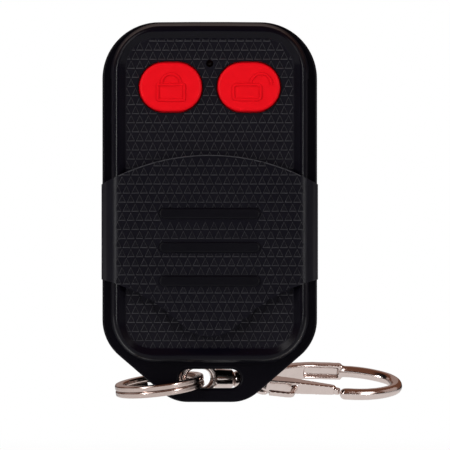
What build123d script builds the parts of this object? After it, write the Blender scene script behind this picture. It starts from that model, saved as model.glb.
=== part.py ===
from build123d import *

import os
from math import atan, cos, degrees, radians, sin, sqrt, tan

# Wireless remote control: a slim case with two buttons, a cover that slides
# up over them, and a lanyard tab that carries a split ring and a snap hook.
# Millimetres. +X is right, +Z is up along the case, the face looks to -Y,
# and the origin is the middle of the tab's flat foot.

os.makedirs("parts", exist_ok=True)

# Case outline, seen from the front
case_top = 63.55
case_crown = 0.2
case_top_corner = 9.5
case_low_corner = 7.9
foot_half_width = 6.14
side_line_bottom = 10.2
foot_corner = 6.6
flange_width = 1.4
flange_top_width = 0.15
front_bottom = 6.5
front_corner_less = 1.1
deep_bottom = 6.9

# Depths of the case
parting_y = -2.0
front_height = 4.5
back_height = 8.5
tab_thickness = 4.0
back_wall = 1.4
side_wall = 2.0
end_wall = 1.85
low_wall = 1.5
skirt_clearance = 0.2
skirt_wall = 1.3
skirt_depth = 0.8
panel_wall = 1.2
rim_drop = 0.9
rim_width = 2.75
rim_slope = 1.3
rim_round = 0.8
panel_corner_less = 1.0
front_draft = 7.0
back_round = 2.0
tab_front_round = 0.35

# Lanyard slot in the tab
slot_length = 10.3
slot_height = 3.2
slot_floor = 2.33
slot_round = 0.5

# Sliding cover
cover_clearance = 0.2
cover_wall = 1.0
cover_margin = 1.0
cover_flare = 1.55
cover_corner = 2.6
cover_lean = 0.22
cover_foot_gap = 0.25
cover_side_bottom = 20.8
cover_side_height = 15.7
cover_top_radius = 35.5
cover_waist_x = 4.6
cover_waist_drop = 8.0
cover_waist_radius = 27.7
cover_tip_drop = 9.8
cover_travel = 18.0
track_height = 1.0
track_clearance = 0.15
track_end_clearance = 0.1
lip_depth = 0.85
lip_inset = 0.4
lip_root = 0.2
grip_length = 16.8
grip_width = 1.75
grip_height = 0.45
grip_pitch = 5.65
grip_count = 3
grip_low_z = 20.35
grip_round = 0.25

# Buttons and their switches
button_width = 10.5
button_height = 8.25
button_spacing = 13.1
button_drop = 10.75
button_gap = 0.2
button_below_rim = 0.15
button_round = 0.5
button_flange = 0.6
button_flange_thickness = 0.7
button_nub_radius = 1.5
button_play = 0.05
button_travel = 0.4
board_gap = 3.2
board_thickness = 1.0
switch_size = 5.2
switch_height = 1.1
switch_corner = 0.4
switch_leg_pitch = 3.4
switch_leg_reach = 0.7
switch_leg_width = 0.7
switch_leg_thickness = 0.2
plunger_radius = 1.05
plunger_proud = 0.45
plunger_depth = 0.32
plunger_clearance = 0.05

# Indicator
lamp_hole_radius = 0.6
lamp_rise = 3.95
lamp_radius = 1.0
lamp_collar = 0.25
lamp_collar_height = 0.5
lamp_gap = 0.3
lamp_dome = 0.9

# Circuit board and what is on it
board_bottom = 23.6
board_clearance = 0.4
pin_inset = 1.9
pin_low_z = 27.5
pin_drop = 8.3
pin_radius = 0.6
pin_clearance = 0.1
pillar_radius = 1.5
post_radius = 1.2
chip_length = 8.7
chip_width = 3.9
chip_height = 1.4
chip_legs = 7
chip_leg_pitch = 1.27
chip_leg_width = 0.42
chip_leg_reach = 1.0
chip_leg_thickness = 0.25
chip_shift = 1.4
resonator_length = 5.0
resonator_width = 3.8
resonator_height = 1.5
resonator_inset = 0.8
resonator_z = 30.0
transistor_length = 2.9
transistor_width = 1.4
transistor_height = 1.0
transistor_x = 5.0
small_length = 1.6
small_width = 0.8
small_height = 0.5
small_rise = 3.25
small_inset = 1.75
resonator_round = 0.25
antenna_width = 1.0
antenna_height = 0.15
antenna_gap = 0.4
antenna_drop = 5.8
antenna_low = 26.4

# Battery and contacts
battery_radius = 4.0
battery_length = 27.6
battery_nub_radius = 1.9
battery_nub_length = 0.6
battery_gap = 0.3
battery_edge = 0.3
battery_z = 18.2
cradle_clearance = 0.1
cradle_thickness = 1.2
cradle_x = 8.0
cradle_half_length = 4.6
contact_thickness = 0.3
contact_inset = 0.95
contact_width = 6.0
contact_foot = 3.0
contact_foot_length = 1.9
spring_bow = 1.5
spring_rise = 1.3
spring_leaf_width = 3.0

# Housing screws
screw_x = 11.0
screw_top_drop = 4.65
screw_low_z = 10.8
screw_radius = 0.95
screw_fit = 0.03
screw_clearance = 0.15
screw_head_radius = 1.7
screw_head_height = 1.1
screw_head_round = 0.33
screw_recess = 0.7
screw_bite = 2.3
cross_width = 0.45
cross_length = 1.9
cross_depth = 0.6
front_boss_radius = 1.9
back_boss_radius = 2.5
boss_clearance = 0.3

# Split ring
ring_radius = 7.5
ring_wire_width = 1.45
ring_wire_height = 1.0
ring_wire_round = 0.3
ring_x = -8.4
ring_z = 2.85
ring_pitch = 7.0
ring_roll = 7.0
ring_cross_start = 75.0
ring_cross_arc = 35.0

# Swivel eye and the line of the hook
eye_x = -1.9
eye_y = 3.4
eye_z = 4.0
hook_yaw = 12.0
hook_fall = 2.0
hook_tilt = 20.0
eye_length = 6.4
eye_height = 5.2
eye_bar = 1.1
eye_thickness = 1.5
eye_round = 0.4
eye_post_radius = 1.6
eye_post_chamfer = 0.3
eye_post_length = 2.7
eye_pin_radius = 0.6
swivel_clearance = 0.05
swivel_gap = 0.2
eye_head_radius = 1.0
eye_head_length = 0.6

# Snap hook, in its own plane: u runs along its line from the collar, v across
collar_radius = 1.35
collar_length = 1.0
neck_radius = 1.1
base_radius = 2.1
base_u = 3.6
base_height = 3.4
base_round = 0.35
bore_length = 2.2
fork_gap = 2.2
fork_top_v = 1.35
hook_rod_radius = 0.95
hook_half_width = 5.45
hook_length = 28.9
hook_tip_radius = 4.0
hook_shoulder_u = 19.95
hook_nose_u = 17.2
hook_nose_round = 0.85
spine_start_u = 6.6
spine_level_u = 15.5
spine_radius = 13.15
spine_end_u = 19.5
spine_height = 2.6
spine_width = 1.6
pocket_depth = 0.7
pocket_height = 1.6
pocket_length = 6.0
pocket_wall = 0.6
rod_bite = 0.5

# Gate lever, its pin and its spring
gate_pin_u = 4.9
gate_pin_v = -1.0
gate_pin_radius = 0.5
gate_pin_fit = 0.04
gate_head_radius = 0.85
gate_head_height = 0.25
gate_height = 2.0
gate_end_height = 1.45
gate_hub_radius = 1.15
gate_heel_u = 5.6
gate_heel_v = -2.2
gate_heel_radius = 0.8
gate_taper_u = 10.0
gate_end_u = 16.15
gate_end_v = -3.6
gate_end_radius = 0.55
knuckle_u = 16.9
knuckle_v = -4.2
knuckle_radius = 0.55
knuckle_height = 1.0
thumb_end_u = 4.9
thumb_end_v = -5.95
thumb_bend_u = 8.6
thumb_bend_v = -6.8
thumb_join_u = 9.9
thumb_join_v = -3.1
thumb_thickness = 0.8
thumb_height = 0.8
spring_radius = 1.0
spring_wall = 0.35
spring_height = 0.55
spring_gap = 0.1
spring_arm = 1.75
lever_relief = 1.5

# Depths worked out from the above
rim_y = parting_y - front_height
panel_y = rim_y + rim_drop
panel_back_y = panel_y + panel_wall
skirt_y = parting_y + skirt_depth
tab_back_y = parting_y + tab_thickness
back_y = parting_y + back_height
floor_y = back_y - back_wall
board_front_y = panel_back_y + board_gap
board_back_y = board_front_y + board_thickness
switch_top_y = board_front_y - switch_height
plunger_top_y = switch_top_y - plunger_proud
button_top_y = rim_y + button_below_rim
button_flange_y = panel_back_y + button_play
battery_y = floor_y - battery_gap - battery_radius
head_seat_y = back_y - screw_recess - screw_head_height
screw_end_y = skirt_y - screw_bite

# Widths and heights worked out from the above: the case is as wide as the
# battery with its contacts, and the buttons keep their place under its top
cell_run = battery_length + battery_nub_length + spring_rise
case_half_width = cell_run / 2 + contact_thickness + contact_inset + side_wall
button_z = case_top - button_drop
lamp_z = button_z + lamp_rise
chip_z = (resonator_z + button_z) / 2 - chip_shift
front_half_width = case_half_width - flange_width
front_top = case_top - flange_top_width
cavity_half_width = case_half_width - side_wall
cavity_top = case_top - end_wall
cavity_bottom = deep_bottom + low_wall
skirt_half_width = cavity_half_width - skirt_clearance
hollow_inset = skirt_clearance + skirt_wall
pin_x = cavity_half_width - hollow_inset - board_clearance - pin_inset
antenna_half_width = pin_x - pillar_radius - antenna_gap
antenna_inner = antenna_half_width - antenna_width
resonator_x = resonator_inset + resonator_length / 2 - antenna_inner
slot_z = slot_floor + slot_height / 2
button_spots = [(-button_spacing / 2, button_z), (button_spacing / 2, button_z)]
pin_spots = [
    (side * pin_x, z) for side in (-1, 1) for z in (pin_low_z, button_z - pin_drop)
]
screw_spots = [
    (side * screw_x, z)
    for side in (-1, 1)
    for z in (screw_low_z, case_top - screw_top_drop)
]


def face_at(y):
    """The plane at depth y whose sketch has X across and Z up, facing the front."""
    return Plane.XZ.offset(-y)


def case_shape(half_width, bottom, top, low_corner, top_corner):
    """A case outline with a crowned top, as a sketch."""
    with BuildSketch() as outline:
        with BuildLine():
            Polyline(
                (-half_width, top),
                (-half_width, bottom),
                (half_width, bottom),
                (half_width, top),
            )
            ThreePointArc((half_width, top), (0, top + case_crown), (-half_width, top))
        make_face()
        fillet(outline.vertices().group_by(Axis.Y)[0], low_corner)
        fillet(outline.vertices().group_by(Axis.Y)[-1], top_corner)
    return outline.sketch


def cavity_shape(inset):
    """The back shell's hollow, drawn in by inset all round, as a sketch."""
    return case_shape(
        cavity_half_width - inset,
        cavity_bottom + inset,
        cavity_top - inset,
        case_low_corner - low_wall - inset,
        case_top_corner - side_wall - inset,
    )


def tabbed_shape():
    """The case outline that narrows to the tab's flat foot, as a sketch."""
    with BuildSketch() as outline:
        with BuildLine():
            Polyline(
                (-case_half_width, case_top),
                (-case_half_width, side_line_bottom),
                (-foot_half_width, 0),
                (foot_half_width, 0),
                (case_half_width, side_line_bottom),
                (case_half_width, case_top),
            )
            ThreePointArc(
                (case_half_width, case_top),
                (0, case_top + case_crown),
                (-case_half_width, case_top),
            )
        make_face()
        fillet(outline.vertices().group_by(Axis.Y)[0], foot_corner)
        fillet(outline.vertices().group_by(Axis.Y)[-1], case_top_corner)
        side_corners = outline.vertices().filter_by_position(
            Axis.Y, side_line_bottom - 0.01, side_line_bottom + 0.01
        )
        fillet(side_corners, case_low_corner)
    return outline.sketch


# Front shell: a rounded rim round a recessed panel, with a skirt that drops
# into the back shell and a track down each side for the cover's lips
track_low = cover_side_bottom + lip_inset - track_end_clearance
track_high = (
    cover_side_bottom
    + cover_side_height
    - lip_inset
    + cover_travel
    + track_end_clearance
)
track_outer = front_half_width + cover_flare
with BuildPart() as front_shell:
    with BuildSketch(face_at(parting_y)):
        add(
            case_shape(
                front_half_width,
                front_bottom,
                front_top,
                case_low_corner,
                case_top_corner - front_corner_less,
            )
        )
    extrude(amount=front_height, taper=front_draft)
    fillet(front_shell.faces().sort_by(Axis.Y)[0].edges(), rim_round)
    panel_shape = (
        front_half_width - rim_width,
        front_bottom + rim_width,
        front_top - rim_width,
        case_low_corner - rim_width - panel_corner_less,
        case_top_corner - front_corner_less - rim_width - panel_corner_less,
    )
    with BuildSketch(face_at(panel_y)):
        add(case_shape(*panel_shape))
    with BuildSketch(face_at(rim_y)):
        add(
            case_shape(
                panel_shape[0] + rim_slope,
                panel_shape[1] - rim_slope,
                panel_shape[2] + rim_slope,
                panel_shape[3] + rim_slope,
                panel_shape[4] + rim_slope,
            )
        )
    loft(ruled=True, mode=Mode.SUBTRACT)
    with BuildSketch(face_at(skirt_y)):
        add(cavity_shape(skirt_clearance))
    extrude(amount=skirt_depth)
    with BuildSketch(face_at(skirt_y)):
        add(cavity_shape(hollow_inset))
    extrude(amount=skirt_y - panel_back_y, mode=Mode.SUBTRACT)
    with BuildSketch(face_at(parting_y)):
        for side in (-1, 1):
            with Locations((side * skirt_half_width, (track_low + track_high) / 2)):
                Rectangle(
                    track_outer - skirt_half_width,
                    track_high - track_low,
                    align=(Align.MIN if side > 0 else Align.MAX, Align.CENTER),
                )
    extrude(amount=track_height, mode=Mode.SUBTRACT)
    with BuildSketch(face_at(skirt_y)):
        with Locations(*screw_spots):
            Circle(front_boss_radius)
    extrude(amount=skirt_y - panel_back_y)
    with BuildSketch(face_at(skirt_y)):
        with Locations(*screw_spots):
            Circle(screw_radius + screw_fit)
    extrude(amount=screw_bite + screw_fit, mode=Mode.SUBTRACT)
    with BuildSketch(face_at(board_front_y)):
        with Locations(*pin_spots):
            Circle(post_radius)
    extrude(amount=board_gap)
    with BuildSketch(face_at(panel_back_y)):
        with Locations(*button_spots):
            SlotOverall(button_width + 2 * button_gap, button_height + 2 * button_gap)
    extrude(amount=panel_wall, mode=Mode.SUBTRACT)
    with BuildSketch(face_at(panel_back_y)):
        with Locations((0, lamp_z)):
            Circle(lamp_hole_radius)
    extrude(amount=panel_wall, mode=Mode.SUBTRACT)
front_shell.part.label = "front_shell"
export_step(front_shell.part, "parts/front_shell.step")

# Back shell: the flange and tab as one plate, the deep rear half behind it,
# with screw bosses, pillars for the board and a cradle for the battery
deep_shape = case_shape(
    case_half_width, deep_bottom, case_top, case_low_corner, case_top_corner
)
with BuildPart() as back_shell:
    with BuildSketch(face_at(parting_y)):
        add(tabbed_shape())
    extrude(amount=-tab_thickness)
    fillet(back_shell.faces().sort_by(Axis.Y)[0].edges(), tab_front_round)
    with BuildSketch(face_at(tab_back_y)):
        add(deep_shape)
    extrude(amount=-(back_height - tab_thickness))
    fillet(back_shell.faces().sort_by(Axis.Y)[-1].edges(), back_round)
    with BuildSketch(face_at(parting_y)):
        add(cavity_shape(0))
    extrude(amount=-(back_height - back_wall), mode=Mode.SUBTRACT)
    with BuildSketch(face_at(parting_y)):
        with Locations((0, slot_z)):
            SlotOverall(slot_length, slot_height)
    extrude(amount=-tab_thickness, mode=Mode.SUBTRACT)
    slot_edges = back_shell.edges().filter_by_position(
        Axis.Z, slot_floor - 0.1, slot_floor + slot_height + 0.1
    )
    slot_edges = slot_edges.filter_by_position(
        Axis.X, -slot_length / 2 - 0.1, slot_length / 2 + 0.1
    )
    fillet(
        slot_edges.group_by(Axis.Y)[0] + slot_edges.group_by(Axis.Y)[-1], slot_round
    )
    with BuildSketch(face_at(floor_y)):
        with Locations(*screw_spots):
            Circle(back_boss_radius)
    extrude(amount=floor_y - skirt_y)
    with BuildSketch(face_at(floor_y)):
        with Locations(*pin_spots):
            Circle(pillar_radius)
    extrude(amount=floor_y - board_back_y)
    with BuildSketch(face_at(board_back_y)):
        with Locations(*pin_spots):
            Circle(pin_radius)
    extrude(amount=board_thickness - pin_clearance)
    with BuildSketch(face_at(floor_y)):
        with Locations((-cradle_x, battery_z), (cradle_x, battery_z)):
            Rectangle(cradle_thickness, 2 * cradle_half_length)
    extrude(amount=battery_radius - battery_gap)
    with BuildSketch(Plane.YZ.offset(-cradle_x - cradle_thickness)):
        with Locations((battery_y, battery_z)):
            Circle(battery_radius + cradle_clearance)
    extrude(amount=2 * (cradle_x + cradle_thickness), mode=Mode.SUBTRACT)
    with BuildSketch(face_at(floor_y)):
        for side in (-1, 1):
            with Locations((side * cavity_half_width, battery_z)):
                Rectangle(
                    contact_inset,
                    contact_width,
                    align=(Align.MAX if side > 0 else Align.MIN, Align.CENTER),
                )
    extrude(amount=floor_y - skirt_y)
    with BuildSketch(face_at(back_y)):
        with Locations(*screw_spots):
            Circle(screw_head_radius + screw_clearance)
    extrude(amount=back_y - head_seat_y, mode=Mode.SUBTRACT)
    with BuildSketch(face_at(back_y)):
        with Locations(*screw_spots):
            Circle(screw_radius + screw_clearance)
    extrude(amount=back_y - skirt_y, mode=Mode.SUBTRACT)
back_shell.part.label = "back_shell"
export_step(back_shell.part, "parts/back_shell.step")

# Housing screws: four alike, each with a cross recess
with BuildPart() as housing_screws:
    with BuildSketch(face_at(head_seat_y)):
        with Locations(*screw_spots):
            Circle(screw_head_radius)
    extrude(amount=-screw_head_height)
    fillet(housing_screws.faces().group_by(Axis.Y)[-1].edges(), screw_head_round)
    with BuildSketch(face_at(head_seat_y)):
        with Locations(*screw_spots):
            Circle(screw_radius)
    extrude(amount=head_seat_y - screw_end_y)
    with BuildSketch(face_at(head_seat_y + screw_head_height)):
        with Locations(*screw_spots):
            Rectangle(cross_length, cross_width)
            Rectangle(cross_width, cross_length)
    extrude(amount=cross_depth, mode=Mode.SUBTRACT)
housing_screws.part.label = "housing_screws"
export_step(housing_screws.part, "parts/housing_screws.step")

# Sliding cover: a shallow channel over the front shell, cut to its outline,
# with an inward lip along each foot and three grip bars on the face
cover_back_y = rim_y - cover_clearance
cover_face_y = cover_back_y - cover_wall
cover_foot_y = parting_y - cover_foot_gap
cover_inner_x = front_half_width + cover_clearance
cover_outer_x = front_half_width + cover_flare
cover_draw = (cover_foot_y - cover_back_y) * tan(radians(front_draft))
cover_bend_x = cover_outer_x - cover_lean * (cover_foot_y - cover_face_y)
cover_edge_x = cover_outer_x + cover_margin
top_arc_z = (
    cover_side_bottom
    + cover_side_height
    - sqrt(cover_top_radius**2 - cover_outer_x**2)
)
edge_top_z = top_arc_z + sqrt(cover_top_radius**2 - cover_edge_x**2)
cover_apex_z = top_arc_z + cover_top_radius
tip_z = cover_side_bottom - cover_tip_drop
waist_z = cover_side_bottom - cover_waist_drop
with BuildPart() as slide_cover:
    with BuildSketch(Plane.XY.offset(tip_z - cover_margin)) as section:
        with BuildLine():
            Polyline(
                (0, cover_back_y),
                (cover_inner_x - cover_draw, cover_back_y),
                (cover_inner_x, cover_foot_y),
                (cover_outer_x, cover_foot_y),
                (cover_bend_x, cover_face_y),
                (0, cover_face_y),
                close=True,
            )
        make_face()
        outer_corner = section.vertices().group_by(Axis.Y)[0].sort_by(Axis.X)[-1]
        fillet(outer_corner, cover_corner)
        inner_corner = section.vertices().sort_by_distance(
            Vertex(cover_inner_x - cover_draw, cover_back_y, 0)
        )[0]
        fillet(inner_corner, rim_round + cover_clearance)
        mirror(about=Plane.YZ)
    extrude(amount=cover_apex_z - tip_z + 2 * cover_margin)
    with BuildSketch(face_at(cover_foot_y)):
        with BuildLine():
            ThreePointArc(
                (-cover_edge_x, edge_top_z), (0, cover_apex_z), (cover_edge_x, edge_top_z)
            )
            for side in (-1, 1):
                Line(
                    (side * cover_edge_x, edge_top_z),
                    (side * cover_edge_x, cover_side_bottom),
                )
                RadiusArc(
                    (side * cover_edge_x, cover_side_bottom),
                    (side * cover_waist_x, waist_z),
                    -side * cover_waist_radius,
                )
            ThreePointArc((-cover_waist_x, waist_z), (0, tip_z), (cover_waist_x, waist_z))
        make_face()
    extrude(amount=cover_foot_y - cover_face_y + cover_margin, mode=Mode.INTERSECT)
    lip_z = cover_side_bottom + lip_inset
    lip_height = cover_side_height - 2 * lip_inset
    lip_y = cover_foot_y - (track_height - cover_foot_gap - track_clearance)
    with BuildSketch(face_at(cover_foot_y)):
        for side in (-1, 1):
            with Locations((side * (cover_inner_x + lip_root), lip_z + lip_height / 2)):
                Rectangle(
                    lip_depth + lip_root,
                    lip_height,
                    align=(Align.MAX if side > 0 else Align.MIN, Align.CENTER),
                )
    extrude(amount=cover_foot_y - lip_y)
    with BuildSketch(face_at(cover_face_y)):
        with Locations((0, grip_low_z + grip_pitch * (grip_count - 1) / 2)):
            with GridLocations(0, grip_pitch, 1, grip_count):
                SlotOverall(grip_length, grip_width)
    extrude(amount=grip_height)
    fillet(slide_cover.faces().group_by(Axis.Y)[0].edges(), grip_round)
slide_cover.part.label = "slide_cover"
export_step(slide_cover.part, "parts/slide_cover.step")

# Buttons: a rounded cap, a flange that keeps it in the shell, and a nub that
# stands on its switch
button_names = ("lock", "unlock")
for name, spot in zip(button_names, button_spots):
    with BuildPart() as button:
        with BuildSketch(face_at(button_flange_y)):
            with Locations(spot):
                SlotOverall(button_width, button_height)
        extrude(amount=button_flange_y - button_top_y)
        fillet(button.faces().sort_by(Axis.Y)[0].edges(), button_round)
        with BuildSketch(face_at(button_flange_y)):
            with Locations(spot):
                SlotOverall(
                    button_width + 2 * button_flange, button_height + 2 * button_flange
                )
        extrude(amount=-button_flange_thickness)
        with BuildSketch(face_at(plunger_top_y - button_play)):
            with Locations(spot):
                Circle(button_nub_radius)
        extrude(amount=plunger_top_y - button_play - button_flange_y)
    button.part.label = name + "_button"
    export_step(button.part, f"parts/{name}_button.step")

    with BuildPart() as switch:
        with BuildSketch(face_at(board_front_y)):
            with Locations(spot):
                RectangleRounded(switch_size, switch_size, switch_corner)
                with GridLocations(switch_size, switch_leg_pitch, 2, 2):
                    Rectangle(2 * switch_leg_reach, switch_leg_width)
        extrude(amount=switch_leg_thickness)
        with BuildSketch(face_at(board_front_y)):
            with Locations(spot):
                RectangleRounded(switch_size, switch_size, switch_corner)
        extrude(amount=switch_height)
        with BuildSketch(face_at(switch_top_y)):
            with Locations(spot):
                Circle(plunger_radius + plunger_clearance)
        extrude(
            amount=-(plunger_depth + button_travel + plunger_clearance),
            mode=Mode.SUBTRACT,
        )
    switch.part.label = name + "_switch"
    export_step(switch.part, f"parts/{name}_switch.step")

    with BuildPart() as plunger:
        with BuildSketch(face_at(switch_top_y + plunger_depth)):
            with Locations(spot):
                Circle(plunger_radius)
        extrude(amount=plunger_depth + plunger_proud)
    plunger.part.label = name + "_plunger"
    export_step(plunger.part, f"parts/{name}_plunger.step")

# Circuit board: notched for the screw bosses and holed for the pins
with BuildPart() as circuit_board:
    with BuildSketch(face_at(board_back_y)) as board_outline:
        add(cavity_shape(hollow_inset + board_clearance))
        with Locations((0, board_bottom)):
            Rectangle(
                2 * case_half_width,
                case_top,
                align=(Align.CENTER, Align.MAX),
                mode=Mode.SUBTRACT,
            )
        with Locations(*screw_spots):
            Circle(back_boss_radius + boss_clearance, mode=Mode.SUBTRACT)
        with Locations(*pin_spots):
            Circle(pin_radius + pin_clearance, mode=Mode.SUBTRACT)
    extrude(amount=board_thickness)
circuit_board.part.label = "circuit_board"
export_step(circuit_board.part, "parts/circuit_board.step")

# Encoder chip: a small-outline package with a row of legs on each side
with BuildPart() as encoder_chip:
    with BuildSketch(face_at(board_front_y)):
        with Locations((0, chip_z)):
            with GridLocations(chip_leg_pitch, 0, chip_legs, 1):
                Rectangle(chip_leg_width, chip_width + 2 * chip_leg_reach)
    extrude(amount=chip_leg_thickness)
    with BuildSketch(face_at(board_front_y - chip_leg_thickness / 2)):
        with Locations((0, chip_z)):
            Rectangle(chip_length, chip_width)
    extrude(amount=chip_height - chip_leg_thickness / 2)
    chamfer(encoder_chip.faces().sort_by(Axis.Y)[0].edges(), chip_leg_thickness)
encoder_chip.part.label = "encoder_chip"
export_step(encoder_chip.part, "parts/encoder_chip.step")

# Resonator: a low metal can
with BuildPart() as resonator:
    with BuildSketch(face_at(board_front_y)):
        with Locations((resonator_x, resonator_z)):
            RectangleRounded(resonator_length, resonator_width, resonator_round)
    extrude(amount=resonator_height)
    chamfer(resonator.faces().sort_by(Axis.Y)[0].edges(), resonator_round)
resonator.part.label = "resonator"
export_step(resonator.part, "parts/resonator.step")

# Radio transistor: a body with two legs below and one above
with BuildPart() as radio_transistor:
    with BuildSketch(face_at(board_front_y)):
        with Locations((transistor_x, resonator_z)):
            Rectangle(transistor_length, transistor_width)
    extrude(amount=transistor_height)
    with BuildSketch(face_at(board_front_y)):
        with Locations((transistor_x, resonator_z)):
            with Locations((0, transistor_width / 2)):
                Rectangle(chip_leg_width, chip_leg_reach)
            with Locations((0, -transistor_width / 2)):
                with GridLocations(transistor_length - 2 * chip_leg_width, 0, 2, 1):
                    Rectangle(chip_leg_width, chip_leg_reach)
    extrude(amount=chip_leg_thickness)
radio_transistor.part.label = "radio_transistor"
export_step(radio_transistor.part, "parts/radio_transistor.step")

# Resistors and capacitors: one small block repeated
with BuildPart() as chip_components:
    with BuildSketch(face_at(board_front_y)):
        with Locations((0, resonator_z + small_rise)):
            with GridLocations(2 * small_length, 0, 3, 1):
                Rectangle(small_length, small_width)
        for side in (-1, 1):
            with Locations((side * (antenna_inner - small_inset), chip_z)):
                with GridLocations(0, 2 * small_length, 1, 3):
                    Rectangle(small_width, small_length)
    extrude(amount=small_height)
chip_components.part.label = "chip_components"
export_step(chip_components.part, "parts/chip_components.step")

# Loop antenna: a copper strip round the middle of the board, open at the top
antenna_top = button_z - antenna_drop
antenna_height_z = antenna_top - antenna_low
with BuildPart() as antenna_loop:
    with BuildSketch(face_at(board_front_y)):
        with Locations((0, (antenna_low + antenna_top) / 2)):
            Rectangle(2 * antenna_half_width, antenna_height_z)
            with Locations((0, antenna_width)):
                Rectangle(2 * antenna_inner, antenna_height_z, mode=Mode.SUBTRACT)
    extrude(amount=antenna_height)
antenna_loop.part.label = "antenna_loop"
export_step(antenna_loop.part, "parts/antenna_loop.step")

# Indicator: a small domed lamp that stands just under its hole
lamp_top_y = panel_back_y + lamp_gap
with BuildPart() as status_led:
    with BuildSketch(face_at(board_front_y)):
        with Locations((0, lamp_z)):
            Circle(lamp_radius + lamp_collar)
    extrude(amount=lamp_collar_height)
    with BuildSketch(face_at(board_front_y)):
        with Locations((0, lamp_z)):
            Circle(lamp_radius)
    extrude(amount=board_front_y - lamp_top_y)
    fillet(status_led.faces().sort_by(Axis.Y)[0].edges(), lamp_dome)
status_led.part.label = "status_led"
export_step(status_led.part, "parts/status_led.step")

# Battery: a plain can with a contact nub at its right end
contact_x = cavity_half_width - contact_inset
battery_right_x = contact_x - contact_thickness - battery_nub_length
battery_left_x = battery_right_x - battery_length
with BuildPart() as battery_cell:
    with BuildSketch(Plane.YZ.offset(battery_left_x)):
        with Locations((battery_y, battery_z)):
            Circle(battery_radius)
    extrude(amount=battery_length)
    fillet(battery_cell.edges().filter_by(GeomType.CIRCLE), battery_edge)
    with BuildSketch(Plane.YZ.offset(battery_right_x)):
        with Locations((battery_y, battery_z)):
            Circle(battery_nub_radius)
    extrude(amount=battery_nub_length)
battery_cell.part.label = "battery_cell"
export_step(battery_cell.part, "parts/battery_cell.step")

# Battery contacts: a plate against each end pad, with a foot that is
# soldered to the back of the board; the left one has a bowed spring leaf
contact_low_y = skirt_y + contact_thickness
for side, name in ((1, "battery_contact"), (-1, "battery_spring")):
    with BuildPart() as contact:
        with BuildSketch(Plane.YZ.offset(side * contact_x)):
            with Locations((contact_low_y, battery_z)):
                Rectangle(
                    floor_y - battery_gap - contact_low_y,
                    contact_width,
                    align=(Align.MIN, Align.CENTER),
                )
            with Locations((board_back_y, battery_z)):
                Rectangle(
                    contact_foot_length,
                    board_bottom + contact_foot_length - battery_z,
                    align=(Align.MIN, Align.MIN),
                )
        extrude(amount=-side * contact_thickness)
        with BuildSketch(face_at(board_back_y)):
            with Locations((side * contact_x, board_bottom + contact_foot_length)):
                Rectangle(
                    contact_foot,
                    contact_foot_length,
                    align=(Align.MAX if side > 0 else Align.MIN, Align.MAX),
                )
        extrude(amount=-contact_thickness)
        if side < 0:
            leaf_x = -contact_x + contact_thickness
            with BuildSketch(Plane.XY.offset(battery_z - spring_leaf_width / 2)):
                with BuildLine():
                    ThreePointArc(
                        (leaf_x, battery_y - spring_bow),
                        (battery_left_x, battery_y),
                        (leaf_x, battery_y + spring_bow),
                    )
                    ThreePointArc(
                        (leaf_x, battery_y - spring_bow + contact_thickness),
                        (battery_left_x - contact_thickness, battery_y),
                        (leaf_x, battery_y + spring_bow - contact_thickness),
                    )
                    for end in (-1, 1):
                        Line(
                            (leaf_x, battery_y + end * spring_bow),
                            (leaf_x, battery_y + end * (spring_bow - contact_thickness)),
                        )
                make_face()
            extrude(amount=spring_leaf_width)
    contact.part.label = name
    export_step(contact.part, f"parts/{name}.step")

# Split ring: a wire of two flat turns. Each turn stops short of a full circle,
# and a ramp climbs from the lower turn to the upper one in the gap.
ring_plane = Plane((ring_x, 0, ring_z)).rotated((ring_pitch, -ring_roll, 0))
ring_axis = Axis(ring_plane.origin, ring_plane.z_dir)
ring_mid_radius = ring_radius - ring_wire_width / 2
ring_cross_end = ring_cross_start + ring_cross_arc
ring_cross_run = ring_mid_radius * radians(ring_cross_arc)
ring_cross_slope = atan(ring_wire_height / ring_cross_run)


def ring_section(angle):
    """The plane of the wire's section at an angle round the ring."""
    turn = radians(angle)
    outward = ring_plane.x_dir * cos(turn) + ring_plane.y_dir * sin(turn)
    return Plane(
        ring_plane.origin, x_dir=outward, z_dir=outward.cross(ring_plane.z_dir)
    )


ring_mid = ring_section(ring_cross_start + ring_cross_arc / 2)
ramp_plane = Plane(ring_mid.origin, x_dir=-ring_mid.z_dir, z_dir=ring_mid.x_dir)
with BuildPart() as ring_ramp:
    with BuildSketch(ring_section(ring_cross_start)):
        with Locations((ring_mid_radius, 0)):
            Rectangle(ring_wire_width, 2 * ring_wire_height)
    revolve(axis=ring_axis, revolution_arc=ring_cross_arc)
    with BuildSketch(ramp_plane.offset(ring_mid_radius)):
        Rectangle(
            2 * ring_cross_run,
            ring_wire_height * cos(ring_cross_slope),
            rotation=degrees(ring_cross_slope),
        )
    extrude(amount=ring_wire_width, both=True, mode=Mode.INTERSECT)

with BuildPart() as split_ring:
    for level in (-1, 1):
        with BuildSketch(ring_section(ring_cross_end)):
            with Locations((ring_mid_radius, level * ring_wire_height / 2)):
                RectangleRounded(ring_wire_width, ring_wire_height, ring_wire_round)
        revolve(axis=ring_axis, revolution_arc=360 - ring_cross_arc)
    add(ring_ramp.part)
split_ring.part.label = "split_ring"
export_step(split_ring.part, "parts/split_ring.step")

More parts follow.
